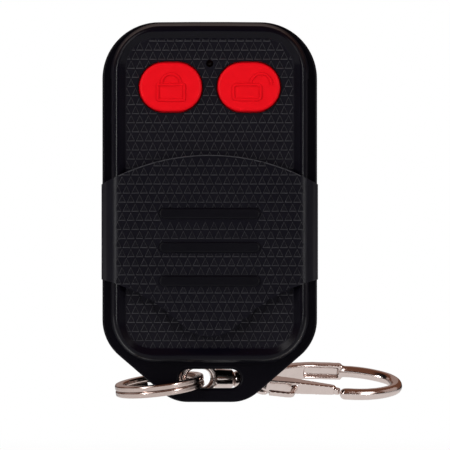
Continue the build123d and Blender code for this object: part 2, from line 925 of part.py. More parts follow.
# The line of the hook, and the planes of the eye and of the hook
yaw = radians(hook_yaw)
fall = radians(hook_fall)
tilt = radians(hook_tilt)
line_dir = Vector(cos(yaw) * cos(fall), sin(yaw) * cos(fall), -sin(fall))
back_dir = Vector(-sin(yaw), cos(yaw), 0)
up_dir = line_dir.cross(back_dir)
across_dir = back_dir * cos(tilt) + up_dir * sin(tilt)
eye_plane = Plane((eye_x, eye_y, eye_z), x_dir=line_dir, z_dir=-back_dir)
post_start = eye_length / 2 - eye_bar / 2
post_end = eye_length / 2 + eye_post_length
hook_origin = eye_plane.origin + line_dir * (post_end + swivel_gap)
hook_plane = Plane(hook_origin, x_dir=line_dir, z_dir=line_dir.cross(across_dir))
swivel_axis = Axis(hook_origin, line_dir)

# Swivel eye: a flat loop, a post, and a riveted pin that turns in the hook
pin_length = swivel_gap + bore_length + swivel_gap / 2
with BuildPart() as swivel_eye:
    with BuildSketch(eye_plane.offset(-eye_thickness / 2)):
        SlotOverall(eye_length, eye_height)
        SlotOverall(
            eye_length - 2 * eye_bar, eye_height - 2 * eye_bar, mode=Mode.SUBTRACT
        )
    extrude(amount=eye_thickness)
    eye_faces = swivel_eye.faces().filter_by(Axis(eye_plane.origin, eye_plane.z_dir))
    fillet(eye_faces.edges(), eye_round)
    with BuildSketch(eye_plane):
        with BuildLine():
            Polyline(
                (post_start, 0),
                (post_start, eye_post_radius - eye_post_chamfer),
                (post_start + eye_post_chamfer, eye_post_radius),
                (post_end - eye_post_chamfer, eye_post_radius),
                (post_end, eye_post_radius - eye_post_chamfer),
                (post_end, eye_pin_radius),
                (post_end + pin_length, eye_pin_radius),
                (post_end + pin_length, eye_head_radius),
                (post_end + pin_length + eye_head_length, eye_head_radius),
                (post_end + pin_length + eye_head_length, 0),
                close=True,
            )
        make_face()
    revolve(axis=swivel_axis)
swivel_eye.part.label = "swivel_eye"
export_step(swivel_eye.part, "parts/swivel_eye.step")

# Snap hook body: collar, forked base, flat spine with a pocket on its inner
# side, and a round rod that turns back to the nose
arc_u = hook_length - hook_rod_radius - hook_tip_radius
side_radius = (
    (arc_u - hook_shoulder_u) ** 2 + hook_half_width**2 - hook_tip_radius**2
) / (2 * (hook_half_width - hook_tip_radius))
side_v = hook_half_width - side_radius
reach = side_radius - hook_tip_radius
join_u = arc_u + hook_tip_radius * (arc_u - hook_shoulder_u) / reach
join_v = -hook_tip_radius * side_v / reach
spine_root_v = (
    hook_half_width
    - spine_radius
    + sqrt(spine_radius**2 - (spine_level_u - spine_start_u) ** 2)
)
pocket_floor_v = hook_half_width - spine_width / 2 + pocket_depth
hook_nose = hook_plane.from_local_coords((hook_nose_u, -hook_half_width, 0))
with BuildPart() as hook_body:
    with BuildSketch(hook_plane):
        with BuildLine():
            Polyline(
                (0, 0),
                (0, collar_radius),
                (collar_length, collar_radius),
                (collar_length, neck_radius),
                (base_u, neck_radius),
                (base_u, 0),
                close=True,
            )
        make_face()
    revolve(axis=swivel_axis)
    with BuildSketch(hook_plane.offset(-base_height / 2)):
        with Locations((base_u, 0)):
            Circle(base_radius)
        with Locations((gate_pin_u, gate_pin_v)):
            Circle(gate_hub_radius + spring_wall)
        with Locations((spine_start_u, spine_root_v)):
            Circle(spine_width / 2)
        make_hull()
    extrude(amount=base_height)
    base_faces = hook_body.faces().filter_by(Axis(hook_origin, hook_plane.z_dir))
    base_faces = base_faces.sort_by(Axis(hook_origin, hook_plane.z_dir))
    fillet(base_faces[0].edges() + base_faces[-1].edges(), base_round)
    with BuildSketch(hook_plane.offset(-spine_height / 2)):
        with BuildLine():
            RadiusArc(
                (spine_start_u, spine_root_v),
                (spine_level_u, hook_half_width),
                spine_radius,
            )
            Line((spine_level_u, hook_half_width), (spine_end_u, hook_half_width))
        trace(line_width=spine_width)
    extrude(amount=spine_height)
    with BuildLine(hook_plane) as rod_line:
        Line((spine_end_u - rod_bite, hook_half_width), (hook_shoulder_u, hook_half_width))
        RadiusArc(
            (hook_shoulder_u, hook_half_width), (join_u, join_v), side_radius
        )
        ThreePointArc((join_u, join_v), (arc_u + hook_tip_radius, 0), (join_u, -join_v))
        RadiusArc(
            (join_u, -join_v), (hook_shoulder_u, -hook_half_width), side_radius
        )
        Line((hook_shoulder_u, -hook_half_width), (hook_nose_u, -hook_half_width))
    rod_start = Plane(rod_line.line @ 0, x_dir=hook_plane.z_dir, z_dir=rod_line.line % 0)
    with BuildSketch(rod_start):
        Circle(hook_rod_radius)
    sweep(path=rod_line.wires()[0])
    nose_face = hook_body.faces().sort_by_distance(Vertex(*hook_nose))[0]
    fillet(nose_face.edges(), hook_nose_round)
    with BuildSketch(hook_plane.offset(-fork_gap / 2)):
        with Locations((bore_length, fork_top_v)):
            Rectangle(
                hook_nose_u - bore_length,
                hook_half_width,
                align=(Align.MIN, Align.MAX),
            )
    extrude(amount=fork_gap, mode=Mode.SUBTRACT)
    with BuildSketch(hook_plane.offset(-base_height)):
        with Locations((gate_pin_u, gate_pin_v)):
            Circle(gate_pin_radius + gate_pin_fit)
    extrude(amount=2 * base_height, mode=Mode.SUBTRACT)
    with BuildSketch(Plane(hook_origin, z_dir=line_dir)):
        Circle(eye_pin_radius + swivel_clearance)
    extrude(amount=base_u, mode=Mode.SUBTRACT)
    with BuildSketch(hook_plane.offset(-pocket_height / 2)):
        with Locations((spine_end_u - pocket_wall, pocket_floor_v)):
            Rectangle(pocket_length, spine_width, align=(Align.MAX, Align.MAX))
    extrude(amount=pocket_height, mode=Mode.SUBTRACT)
hook_body.part.label = "hook_body"
export_step(hook_body.part, "parts/hook_body.step")

# The spring sits above the lever's hub, inside the fork
spring_base_w = fork_gap / 2 - 2 * spring_gap - spring_height

# Gate lever: an arm that tapers from its hub to its end, a knuckle that rests
# by the nose, and a thumb tab that leaves the arm outwards and runs back
with BuildPart() as gate_lever:
    with BuildSketch(hook_plane.offset(-gate_height / 2)):
        with Locations((gate_pin_u, gate_pin_v)):
            Circle(gate_hub_radius)
        with Locations((gate_heel_u, gate_heel_v)):
            Circle(gate_heel_radius)
        with Locations((gate_end_u, gate_end_v)):
            Circle(gate_end_radius)
        make_hull()
    extrude(amount=gate_height)
    gate_end = gate_end_u + gate_end_radius
    with BuildSketch(Plane(hook_origin, x_dir=line_dir, z_dir=across_dir)):
        with BuildLine():
            Polyline(
                (0, gate_height / 2),
                (gate_taper_u, gate_height / 2),
                (gate_end, gate_end_height / 2),
                (gate_end, -gate_end_height / 2),
                (gate_taper_u, -gate_height / 2),
                (0, -gate_height / 2),
                close=True,
            )
        make_face()
    extrude(amount=hook_half_width, both=True, mode=Mode.INTERSECT)
    with BuildSketch(hook_plane.offset(-knuckle_height / 2)):
        with Locations((knuckle_u, knuckle_v)):
            Circle(knuckle_radius)
    extrude(amount=knuckle_height)
    with BuildSketch(hook_plane.offset(-thumb_height / 2)):
        with BuildLine():
            FilletPolyline(
                (thumb_end_u, thumb_end_v),
                (thumb_bend_u, thumb_bend_v),
                (thumb_join_u, thumb_join_v),
                radius=thumb_thickness,
            )
        trace(line_width=thumb_thickness)
    extrude(amount=thumb_height)
    with BuildSketch(hook_plane.offset(spring_base_w)):
        with Locations((gate_pin_u, gate_pin_v)):
            Circle(lever_relief)
    extrude(amount=gate_height, mode=Mode.SUBTRACT)
    with BuildSketch(hook_plane.offset(-gate_height)):
        with Locations((gate_pin_u, gate_pin_v)):
            Circle(gate_pin_radius + gate_pin_fit)
    extrude(amount=2 * gate_height, mode=Mode.SUBTRACT)
gate_lever.part.label = "gate_lever"
export_step(gate_lever.part, "parts/gate_lever.step")

# Gate pin: a plain rivet with a low head on each side
with BuildPart() as gate_pin:
    with BuildSketch(hook_plane.offset(-base_height / 2)):
        with Locations((gate_pin_u, gate_pin_v)):
            Circle(gate_pin_radius)
    extrude(amount=base_height)
    for side in (-1, 1):
        with BuildSketch(hook_plane.offset(side * base_height / 2)):
            with Locations((gate_pin_u, gate_pin_v)):
                Circle(gate_head_radius)
        extrude(amount=side * gate_head_height)
gate_pin.part.label = "gate_pin"
export_step(gate_pin.part, "parts/gate_pin.step")

# Gate spring: the closed turns of a torsion spring round the pin, with the
# arm that rests in the base
with BuildPart() as gate_spring:
    with BuildSketch(hook_plane.offset(spring_base_w + spring_gap)):
        with Locations((gate_pin_u, gate_pin_v)):
            Circle(spring_radius)
            with Locations((-spring_arm / 2, spring_radius - spring_wall / 2)):
                Rectangle(spring_arm, spring_wall)
            Circle(spring_radius - spring_wall, mode=Mode.SUBTRACT)
    extrude(amount=spring_height)
gate_spring.part.label = "gate_spring"
export_step(gate_spring.part, "parts/gate_spring.step")
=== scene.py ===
# %% [markdown]
# # A pocket remote control with a split ring and a snap hook
#
# The solids come from CAD and stay as they are: this script only dresses
# them. It adds what is too fine for the solids, such as the moulded pattern
# and the padlock outlines, gives every piece a finish made of shader nodes,
# and sets up a plain white studio. All lengths are metres, in the CAD frame:
# X to the right, Z up along the case, and the buttons look towards -Y.

import math

import bmesh
import bpy
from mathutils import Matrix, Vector


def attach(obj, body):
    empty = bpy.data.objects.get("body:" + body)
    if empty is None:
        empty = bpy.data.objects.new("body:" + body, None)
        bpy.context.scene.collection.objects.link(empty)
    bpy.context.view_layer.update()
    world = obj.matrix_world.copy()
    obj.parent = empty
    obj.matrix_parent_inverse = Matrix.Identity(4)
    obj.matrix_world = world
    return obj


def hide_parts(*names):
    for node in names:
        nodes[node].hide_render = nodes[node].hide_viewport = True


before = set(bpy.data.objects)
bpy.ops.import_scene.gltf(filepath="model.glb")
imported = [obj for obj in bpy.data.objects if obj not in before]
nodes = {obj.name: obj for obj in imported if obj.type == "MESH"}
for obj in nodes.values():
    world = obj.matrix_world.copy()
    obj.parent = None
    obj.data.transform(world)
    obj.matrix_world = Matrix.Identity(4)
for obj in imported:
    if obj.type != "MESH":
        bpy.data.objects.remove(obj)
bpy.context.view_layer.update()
MM = 0.001

# %% [markdown]
# ## Writing shader sums in Python
#
# A finish is a small sum over noise patterns, so it reads best as a sum. One
# class wraps a node's output socket, and its operators add the Math nodes. A
# second class holds the tree and adds every other kind of node in one way:
# its type, its settings, then the values or links of its sockets.


# %% A socket that can stand in a sum
class Value:
    """An output socket, with arithmetic that adds Math nodes."""

    def __init__(self, graph, socket):
        self.graph = graph
        self.socket = socket

    def join(self, operation, first, second):
        """Adds one Math node."""
        return self.graph.node(
            "ShaderNodeMath", {"operation": operation}, {0: first, 1: second}
        )

    def __add__(self, other):
        return self.join("ADD", self, other)

    def __radd__(self, other):
        return self.join("ADD", other, self)

    def __rsub__(self, other):
        return self.join("SUBTRACT", other, self)

    def __mul__(self, other):
        return self.join("MULTIPLY", self, other)

    def __rmul__(self, other):
        return self.join("MULTIPLY", other, self)


print("sums of sockets are ready")

# %% A node tree, and a finish
MIX_FACTOR, MIX_FIRST, MIX_SECOND, MIX_RESULT = 0, 6, 7, 2


class Graph:
    """A node tree with one way to add a node."""

    def __init__(self, tree):
        self.tree = tree

    def node(self, kind, settings=None, sockets=None, output=0):
        """Adds a node: its type, its settings, then its sockets' values or links."""
        made = self.tree.nodes.new(kind)
        for name, value in (settings or {}).items():
            setattr(made, name, value)
        for key, value in (sockets or {}).items():
            self.plug(made.inputs[key], value)
        return Value(self, made.outputs[output])

    def plug(self, socket, value):
        """Links a Value to a socket, or sets the socket to a plain value."""
        if isinstance(value, Value):
            self.tree.links.new(value.socket, socket)
        else:
            socket.default_value = value

    def tint(self, mask, low, high):
        """Goes from one colour to another as the mask goes from 0 to 1."""
        low, high = (
            colour if isinstance(colour, Value) else (*colour, 1.0)
            for colour in (low, high)
        )
        return self.node(
            "ShaderNodeMix",
            {"data_type": "RGBA"},
            {MIX_FACTOR: mask, MIX_FIRST: low, MIX_SECOND: high},
            output=MIX_RESULT,
        )

    def step(self, value, start, end):
        """0 below start, 1 above end, and a smooth climb between them."""
        return self.node(
            "ShaderNodeMapRange",
            {"interpolation_type": "SMOOTHSTEP"},
            {"Value": value, "From Min": start, "From Max": end},
        )

    def along(self, axis, vector):
        """One of a vector's three numbers: X, Y or Z."""
        return self.node("ShaderNodeSeparateXYZ", None, {0: vector}, output=axis)

    def ray(self, kind):
        """1 for one kind of ray and 0 for all others."""
        return self.node("ShaderNodeLightPath", output=kind)


class Finish(Graph):
    """A material: its tree, its shader, and the place of each point."""

    def __init__(self, name, **constants):
        self.material = bpy.data.materials.new(name)
        self.material.use_nodes = True
        super().__init__(self.material.node_tree)
        self.shader = self.tree.nodes["Principled BSDF"]
        self.place = self.node("ShaderNodeTexCoord", output="Object")
        for words, value in constants.items():
            self.set(words.replace("_", " "), value)

    def set(self, socket, value):
        """Sets or links one of the shader's own sockets."""
        self.plug(self.shader.inputs[socket], value)

    def depth(self):
        """How far back each point lies."""
        return self.along("Y", self.place)

    def noise(self, size, detail=2.0, stretch=(1, 1, 1)):
        """Soft random blotches of about this size in metres, from 0 to 1."""
        scaled = self.node(
            "ShaderNodeVectorMath",
            {"operation": "MULTIPLY"},
            {0: self.place, 1: tuple(s / size for s in stretch)},
        )
        return self.node(
            "ShaderNodeTexNoise", None, {"Vector": scaled, "Scale": 1.0, "Detail": detail}
        )

    def relief(self, height, depth):
        """Turns a height from 0 to 1 into small bumps of this depth in metres."""
        bump = self.node(
            "ShaderNodeBump", None, {"Strength": 1.0, "Distance": depth, "Height": height}
        )
        self.set("Normal", bump)


def dress(finish, *names):
    """Gives CAD nodes a finish through their material slots."""
    for name in names:
        for slot in nodes[name].material_slots:
            slot.material = finish.material
    print(finish.material.name, "on", ", ".join(names))


print("finishes can be mixed")

# %% [markdown]
# ## Black plastic
#
# The case is moulded in near-black plastic with a faint cool tint. Its rim is
# polished and the recessed panel inside it is etched and a shade paler, so the
# front shell takes two levels of both from one mask: how far a point lies
# behind the rim. The cover's face is told from its raised grip bars the same
# way. Fine noise stands for the etched skin, and broad noise for handling
# marks, which show mostly in the reflections, as on the real thing.

# %% Black plastic
PLASTIC_IOR = 1.47


def black_plastic(name, gloss, blotch, grain):
    """Black plastic, with its handling marks and its etched skin."""
    made = Finish(name, IOR=PLASTIC_IOR, Specular_IOR_Level=gloss)
    return made, made.noise(blotch, detail=4.0), made.noise(grain)


shell_black, marks, etched = black_plastic("shell_black", 0.12, 6 * MM, 0.12 * MM)
recess = shell_black.step(shell_black.depth(), -5.85 * MM, -5.65 * MM)
paleness = 0.45 * marks + 0.55 * recess
shell_black.set(
    "Base Color",
    shell_black.tint(paleness, (0.0014, 0.0010, 0.0027), (0.0030, 0.0024, 0.0056)),
)
shell_black.set("Roughness", 0.20 + 0.20 * recess + 0.08 * marks)
shell_black.relief(etched * recess, 0.004 * MM)
dress(shell_black, "front_shell")

back_black, marks, etched = black_plastic("back_black", 0.07, 7 * MM, 0.16 * MM)
back_black.set(
    "Base Color",
    back_black.tint(marks, (0.0008, 0.0006, 0.0018), (0.0020, 0.0015, 0.0034)),
)
back_black.set("Roughness", 0.26 + 0.12 * marks)
back_black.relief(etched, 0.005 * MM)
dress(back_black, "back_shell")

cover_black, marks, etched = black_plastic("cover_black", 0.12, 5 * MM, 0.14 * MM)
skin = cover_black.step(cover_black.depth(), -7.90 * MM, -7.74 * MM)
paleness = 0.35 * marks + 0.65 * skin
cover_black.set(
    "Base Color",
    cover_black.tint(paleness, (0.0010, 0.0009, 0.0022), (0.0031, 0.0027, 0.0056)),
)
cover_black.set("Roughness", 0.30 + 0.12 * marks)
cover_black.relief(etched, 0.004 * MM)
dress(cover_black, "slide_cover")

# %% [markdown]
# ## Red buttons
#
# The buttons are soft red plastic: saturated, satin, and a touch paler where
# the light grazes their edges, which the plastic's own gloss gives without any
# painted highlight. A slow mottle keeps the colour from being dead flat.

# %% Red plastic
button_red = Finish("button_red", IOR=1.45, Specular_IOR_Level=0.08)
mottle = button_red.noise(1.6 * MM, detail=5.0)
button_red.set(
    "Base Color", button_red.tint(mottle, (0.58, 0.0009, 0.0046), (0.66, 0.0018, 0.0072))
)
button_red.set("Roughness", 0.38 + 0.14 * mottle)
button_red.relief(button_red.noise(0.10 * MM), 0.004 * MM)
dress(button_red, "lock_button", "unlock_button")

# %% [markdown]
# ## Nickel plate
#
# The ring and the hook are nickel-plated: a slightly warm metal, nearly
# mirror bright, with fine wipe marks that run along the wire and a few dull
# patches. The marks go into the roughness and a very shallow bump, so that
# the reflections break up a little as they do on cheap plating. The ring's
# plate is set a shade darker than the hook's.


# %% Nickel
def plating(name, low, high):
    """Nickel plate between two shades."""
    plate = Finish(name, Metallic=1.0)
    cloud = plate.noise(1.8 * MM, detail=4.0)
    wipe = plate.noise(0.22 * MM, detail=3.0, stretch=(0.25, 0.6, 1.0))
    plate.set("Base Color", plate.tint(cloud, low, high))
    plate.set("Roughness", 0.07 + 0.09 * cloud + 0.08 * wipe)
    plate.relief(wipe + 0.5 * cloud, 0.0035 * MM)
    return plate


ring_nickel = plating("ring_nickel", (0.47, 0.375, 0.340), (0.59, 0.485, 0.445))
dress(ring_nickel, "split_ring")
nickel = plating("nickel", (0.60, 0.505, 0.470), (0.72, 0.620, 0.585))
dress(nickel, "swivel_eye", "hook_body", "gate_lever", "gate_pin")

# %% [markdown]
# ## What is inside
#
# The board, its parts and the battery are shut in, but each still gets its
# own stuff: the board a green mask, the chip tinned legs below a matt body,
# the cell a drawn metal can. A point's depth is enough to tell a chip's legs
# from its body. The screws show at the back, and the spring in the hook.

# %% Metals inside
for name, low, high, rough, wear, dressed in (
    ("zinc_screw", (0.20, 0.20, 0.21), (0.34, 0.34, 0.35), 0.30, 0.8,
     ["housing_screws"]),
    ("switch_steel", (0.50, 0.50, 0.51), (0.66, 0.66, 0.67), 0.26, 1.1,
     ["lock_switch", "unlock_switch"]),
    ("resonator_can", (0.62, 0.62, 0.63), (0.78, 0.78, 0.79), 0.16, 1.5,
     ["resonator"]),
    ("antenna_copper", (0.55, 0.24, 0.11), (0.78, 0.42, 0.24), 0.28, 2.0,
     ["antenna_loop"]),
    ("cell_can", (0.42, 0.39, 0.31), (0.60, 0.56, 0.46), 0.24, 3.0,
     ["battery_cell"]),
    ("contact_strip", (0.58, 0.55, 0.50), (0.74, 0.71, 0.66), 0.22, 1.2,
     ["battery_contact", "battery_spring"]),
    ("spring_wire", (0.24, 0.23, 0.22), (0.38, 0.37, 0.35), 0.30, 0.5,
     ["gate_spring"]),
):
    metal = Finish(name, Metallic=1.0)
    patch = metal.noise(wear * MM, detail=4.0)
    metal.set("Base Color", metal.tint(patch, low, high))
    metal.set("Roughness", rough + 0.18 * patch)
    metal.relief(metal.noise(0.08 * MM), 0.002 * MM)
    dress(metal, *dressed)

# %% Plastics and laminate inside
for name, low, high, rough, wear, dressed in (
    ("plunger_black", (0.010, 0.010, 0.010), (0.020, 0.020, 0.021), 0.42, 0.6,
     ["lock_plunger", "unlock_plunger"]),
    ("board_green", (0.010, 0.075, 0.028), (0.022, 0.130, 0.050), 0.28, 0.35,
     ["circuit_board"]),
    ("fired_ceramic", (0.22, 0.15, 0.10), (0.46, 0.38, 0.30), 0.40, 0.5,
     ["chip_components"]),
    # The LED's resin is painted near black: painted shade for the dark hole it sits in.
    ("lamp_resin", (0.020, 0.002, 0.002), (0.035, 0.003, 0.003), 0.25, 0.5,
     ["status_led"]),
):
    resin = Finish(name, IOR=1.5)
    patch = resin.noise(wear * MM, detail=3.0)
    resin.set("Base Color", resin.tint(patch, low, high))
    resin.set("Roughness", rough + 0.12 * patch)
    resin.relief(resin.noise(0.09 * MM), 0.003 * MM)
    dress(resin, *dressed)

chip_body = Finish("chip_body", IOR=1.5)
legs = chip_body.step(chip_body.depth(), -1.47 * MM, -1.44 * MM)
chip_body.set(
    "Base Color", chip_body.tint(legs, (0.012, 0.012, 0.013), (0.60, 0.59, 0.57))
)
chip_body.set("Metallic", legs)
chip_body.set("Roughness", 0.50 - 0.25 * legs + 0.10 * chip_body.noise(0.3 * MM))
dress(chip_body, "encoder_chip", "radio_transistor")

# %% [markdown]
# ## The moulded pattern
#
# The panel and the cover carry rows of small raised triangles, each row half
# a pitch from the one below. Their bevelled sides catch the light and their
# tops stay dark, which is all that shows of them in the photograph. A bump
# map would vanish from the side, so each one is a real low wedge. One mesh
# holds all of them. A function says how much room there is round a spot, and
# a wedge with too little is cut off along the edge, as in the real mould. The
# sides also get a painted highlight: their colour is one with the plastic round
# them on top and paler between top and foot, for the light they catch.

# %% One wedge, repeated over an area
PITCH_X, PITCH_Z = 1.465 * MM, 1.52 * MM
WEDGE = [(-0.68 * MM, -0.67 * MM), (0.68 * MM, -0.67 * MM), (0.0, 0.76 * MM)]
WEDGE_HEIGHT = 0.17 * MM
WEDGE_TOP = 0.72  # the size of a wedge's top, as a share of its foot
WEDGE_REACH = 1.02 * MM  # from a wedge's middle to past its corners
SUNK = 0.02 * MM  # how far each foot goes into the plastic
SLIVER = 0.30 * MM  # a wedge further outside than this is left out
BLEND = 0.02 * MM  # from a wedge's dark top to its pale side
PROBE = 0.01 * MM  # a short way, to feel which way the room grows


def wedge_highlight_finish(name, surface_y, low, high):
    """Plastic with a painted highlight on the sloping sides of the wedges."""
    highlighted_plastic = Finish(name, IOR=PLASTIC_IOR, Specular_IOR_Level=0.12)
    height = surface_y - highlighted_plastic.depth()
    # The sloping sides between top and foot get a painted highlight: a paler colour for
    # the light they catch. The noise below varies this painted highlight as well as the
    # roughness.
    side = highlighted_plastic.step(height, WEDGE_HEIGHT, WEDGE_HEIGHT - BLEND)
    wear = highlighted_plastic.noise(0.9 * MM, detail=3.0)
    highlighted_plastic.set("Base Color", highlighted_plastic.tint(side * (0.4 + 0.9 * wear), low, high))
    highlighted_plastic.set("Roughness", 0.36 + 0.16 * wear)
    highlighted_plastic.relief(highlighted_plastic.noise(0.12 * MM), 0.004 * MM)
    return highlighted_plastic


def ridden(name, mesh, body, finish):
    """Makes an object of a mesh, gives it a finish, and lets it ride on a body."""
    mesh.materials.append(finish.material)
    made = bpy.data.objects.new(name, mesh)
    bpy.context.collection.objects.link(made)
    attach(made, body)
    return made


def closed_mesh(name, shape):
    """Turns an edited shape into a mesh whose faces all look outwards."""
    bmesh.ops.recalc_face_normals(shape, faces=shape.faces)
    mesh = bpy.data.meshes.new(name)
    shape.to_mesh(mesh)
    shape.free()
    print(name, "has", len(mesh.polygons), "faces")
    return mesh


def add_wedge(shape, x, z, surface_y):
    """Adds one closed wedge to a shape and returns its parts."""
    foot = [shape.verts.new((x + dx, surface_y + SUNK, z + dz)) for dx, dz in WEDGE]
    top = [
        shape.verts.new(
            (x + dx * WEDGE_TOP, surface_y - WEDGE_HEIGHT, z + dz * WEDGE_TOP)
        )
        for dx, dz in WEDGE
    ]
    faces = [shape.faces.new(top), shape.faces.new(reversed(foot))]
    for i in range(3):
        j = (i + 1) % 3
        faces.append(shape.faces.new((foot[i], foot[j], top[j], top[i])))
    return foot + top + list({edge for face in faces for edge in face.edges}) + faces


def cut_wedge(shape, parts, x, z, surface_y, room):
    """Cuts a wedge along the nearest edge of the area and closes the cut."""
    space = room(x, z)
    inwards = Vector((room(x + PROBE, z) - space, 0, room(x, z + PROBE) - space))
    inwards.normalize()
    cut = bmesh.ops.bisect_plane(
        shape,
        geom=parts,
        plane_co=Vector((x, surface_y, z)) - inwards * space,
        plane_no=-inwards,
        clear_outer=True,
    )
    rim = [part for part in cut["geom_cut"] if isinstance(part, bmesh.types.BMEdge)]
    bmesh.ops.holes_fill(shape, edges=rim)


def wedge_field(name, surface_y, low, high, room):
    """A mesh of wedges on a staggered grid, wherever there is room for one."""
    shape = bmesh.new()
    rows = int((high[1] - low[1]) / PITCH_Z) + 2
    columns = int((high[0] - low[0]) / PITCH_X) + 2
    for row in range(rows):
        shift = PITCH_X / 2 * (row % 2)
        for column in range(-1, columns):
            x = low[0] + column * PITCH_X + shift
            z = low[1] + row * PITCH_Z
            if room(x, z) < -SLIVER:
                continue
            parts = add_wedge(shape, x, z, surface_y)
            if room(x, z) < WEDGE_REACH:
                cut_wedge(shape, parts, x, z, surface_y, room)
    return closed_mesh(name, shape)


print("wedges can be laid on a face that looks to -Y")

# %% [markdown]
# ## Where the panel's wedges stand
#
# The room round a spot on the panel is how far it lies inside the panel's
# rounded outline, or outside the nearest button or the indicator hole,
# whichever is least. Each is a distance to a simple shape, so it is a line or
# two of Python. The wedges run a little into the rim's slope, which hides
# their ends.

# %% The panel's pattern
PANEL_Y = -5.6 * MM
PANEL_HALF_WIDTH, PANEL_CORNER = 13.85 * MM, 4.2 * MM
PANEL_LOW, PANEL_HIGH = 9.25 * MM, 60.65 * MM
PANEL_OVERRUN = 0.2 * MM
PANEL_GRID = ((-13.9 * MM, 9.4 * MM), (13.9 * MM, 60.6 * MM))
BUTTON_CENTRES = [(-6.55 * MM, 52.8 * MM), (6.55 * MM, 52.8 * MM)]
BUTTON_LENGTH, BUTTON_HEIGHT, BUTTON_ROOM = 10.5 * MM, 8.25 * MM, 0.3 * MM
LAMP_X, LAMP_Z, LAMP_ROOM = 0.0, 56.75 * MM, 0.72 * MM


def inside_panel(x, z):
    """How far a point lies inside the panel's rounded outline; negative outside."""
    middle, half_height = (PANEL_LOW + PANEL_HIGH) / 2, (PANEL_HIGH - PANEL_LOW) / 2
    across = abs(x) - (PANEL_HALF_WIDTH - PANEL_CORNER)
    along = abs(z - middle) - (half_height - PANEL_CORNER)
    outside = math.hypot(max(across, 0), max(along, 0))
    return PANEL_CORNER - outside - min(max(across, along), 0)


def outside_stadium(x, z, centre, length, height):
    """How far a point lies outside a stadium that lies along X."""
    flat = (length - height) / 2
    return math.hypot(max(abs(x - centre[0]) - flat, 0), z - centre[1]) - height / 2


def panel_room(x, z):
    """How much room the panel has round a spot."""
    spaces = [
        inside_panel(x, z) + PANEL_OVERRUN,
        math.hypot(x - LAMP_X, z - LAMP_Z) - LAMP_ROOM,
    ]
    for centre in BUTTON_CENTRES:
        button = outside_stadium(x, z, centre, BUTTON_LENGTH, BUTTON_HEIGHT)
        spaces.append(button - BUTTON_ROOM)
    return min(spaces)


# The second colour is the painted highlight on the wedges' sides.
panel_wedges = wedge_highlight_finish(
    "panel_wedges", PANEL_Y, (0.0030, 0.0025, 0.0050), (0.046, 0.045, 0.049)
)
panel_mesh = wedge_field("panel_pattern", PANEL_Y, *PANEL_GRID, panel_room)
ridden("panel_pattern", panel_mesh, "case", panel_wedges)

# %% [markdown]
# ## Where the cover's wedges stand
#
# The cover's outline is made of arcs: one long arc over the top, one that
# bulges upwards on each side of the tip, and a small one round the tip. The
# wedges keep clear of it and of the three smooth grip bars.

# %% The cover's pattern
COVER_Y = -7.7 * MM
COVER_HALF_WIDTH, COVER_SHOULDER = 18.15 * MM, 36.5 * MM
COVER_RADIUS = 35.5 * MM
COVER_CENTRE = COVER_SHOULDER - math.sqrt(COVER_RADIUS**2 - COVER_HALF_WIDTH**2)
WAIST_OUT, WAIST_IN = Vector((19.15, 20.8)) * MM, Vector((4.6, 12.8)) * MM
WAIST_RADIUS = 27.7 * MM
TIP_CENTRE, TIP_RADIUS = 17.78 * MM, 6.78 * MM
FACE_HALF_WIDTH, MARGIN = 15.6 * MM, 0.15 * MM
GRIP_LEVELS = (20.35 * MM, 26.0 * MM, 31.65 * MM)
GRIP_LENGTH, GRIP_HEIGHT = 16.8 * MM, 1.75 * MM
COVER_GRID = ((-15.4 * MM, 11.3 * MM), (15.4 * MM, 42.0 * MM))


def waist_centre():
    """The centre of the arc that bulges upwards between the side and the tip."""
    chord = WAIST_OUT - WAIST_IN
    down = Vector((chord.y, -chord.x)).normalized()
    rise = math.sqrt(WAIST_RADIUS**2 - (chord.length / 2) ** 2)
    return (WAIST_OUT + WAIST_IN) / 2 + down * rise


WAIST_CENTRE = waist_centre()


def cover_room(x, z):
    """How much room the cover has round a spot."""
    spaces = [
        FACE_HALF_WIDTH - abs(x),
        COVER_RADIUS - MARGIN - math.hypot(x, z - COVER_CENTRE),
    ]
    if abs(x) > WAIST_IN.x:
        reach = math.hypot(abs(x) - WAIST_CENTRE.x, z - WAIST_CENTRE.y)
        spaces.append(reach - WAIST_RADIUS - MARGIN)
    elif z < TIP_CENTRE:
        spaces.append(TIP_RADIUS - MARGIN - math.hypot(x, z - TIP_CENTRE))
    for level in GRIP_LEVELS:
        grip = outside_stadium(x, z, (0, level), GRIP_LENGTH, GRIP_HEIGHT)
        spaces.append(grip - MARGIN)
    return min(spaces)


# The second colour is the painted highlight on the wedges' sides.
cover_wedges = wedge_highlight_finish(
    "cover_wedges", COVER_Y, (0.0026, 0.0023, 0.0047), (0.035, 0.034, 0.038)
)
cover_mesh = wedge_field("cover_pattern", COVER_Y, *COVER_GRID, cover_room)
ridden("cover_pattern", cover_mesh, "cover", cover_wedges)

# %% [markdown]
# ## Padlock outlines
#
# Each button has a padlock on it, drawn as a raised line: closed on the left,
# open on the right. A line is a path with a width, so one helper lays a low
# bar with sloping sides along any path, and both padlocks are made of two
# paths: the body and the shackle.

# %% A raised line along a path
BAR = ((-0.5, -0.1), (-0.32, 1.0), (0.32, 1.0), (0.5, -0.1))  # its width and height are 1
SHARPEST = 0.4  # keeps the corner of a sharp bend short


def corner_offsets(points, closed):
    """For each point, the way across the path, long enough for its corner."""
    across = []
    count = len(points)
    for i, here in enumerate(points):
        ways = []
        if closed or i:
            ways.append((here - points[i - 1]).normalized())
        if closed or i < count - 1:
            ways.append((points[(i + 1) % count] - here).normalized())
        way = sum(ways, Vector((0, 0))).normalized()
        side, first_side = (Vector((-w.y, w.x)) for w in (way, ways[0]))
        across.append(side / max(abs(side.dot(first_side)), SHARPEST))
    return across


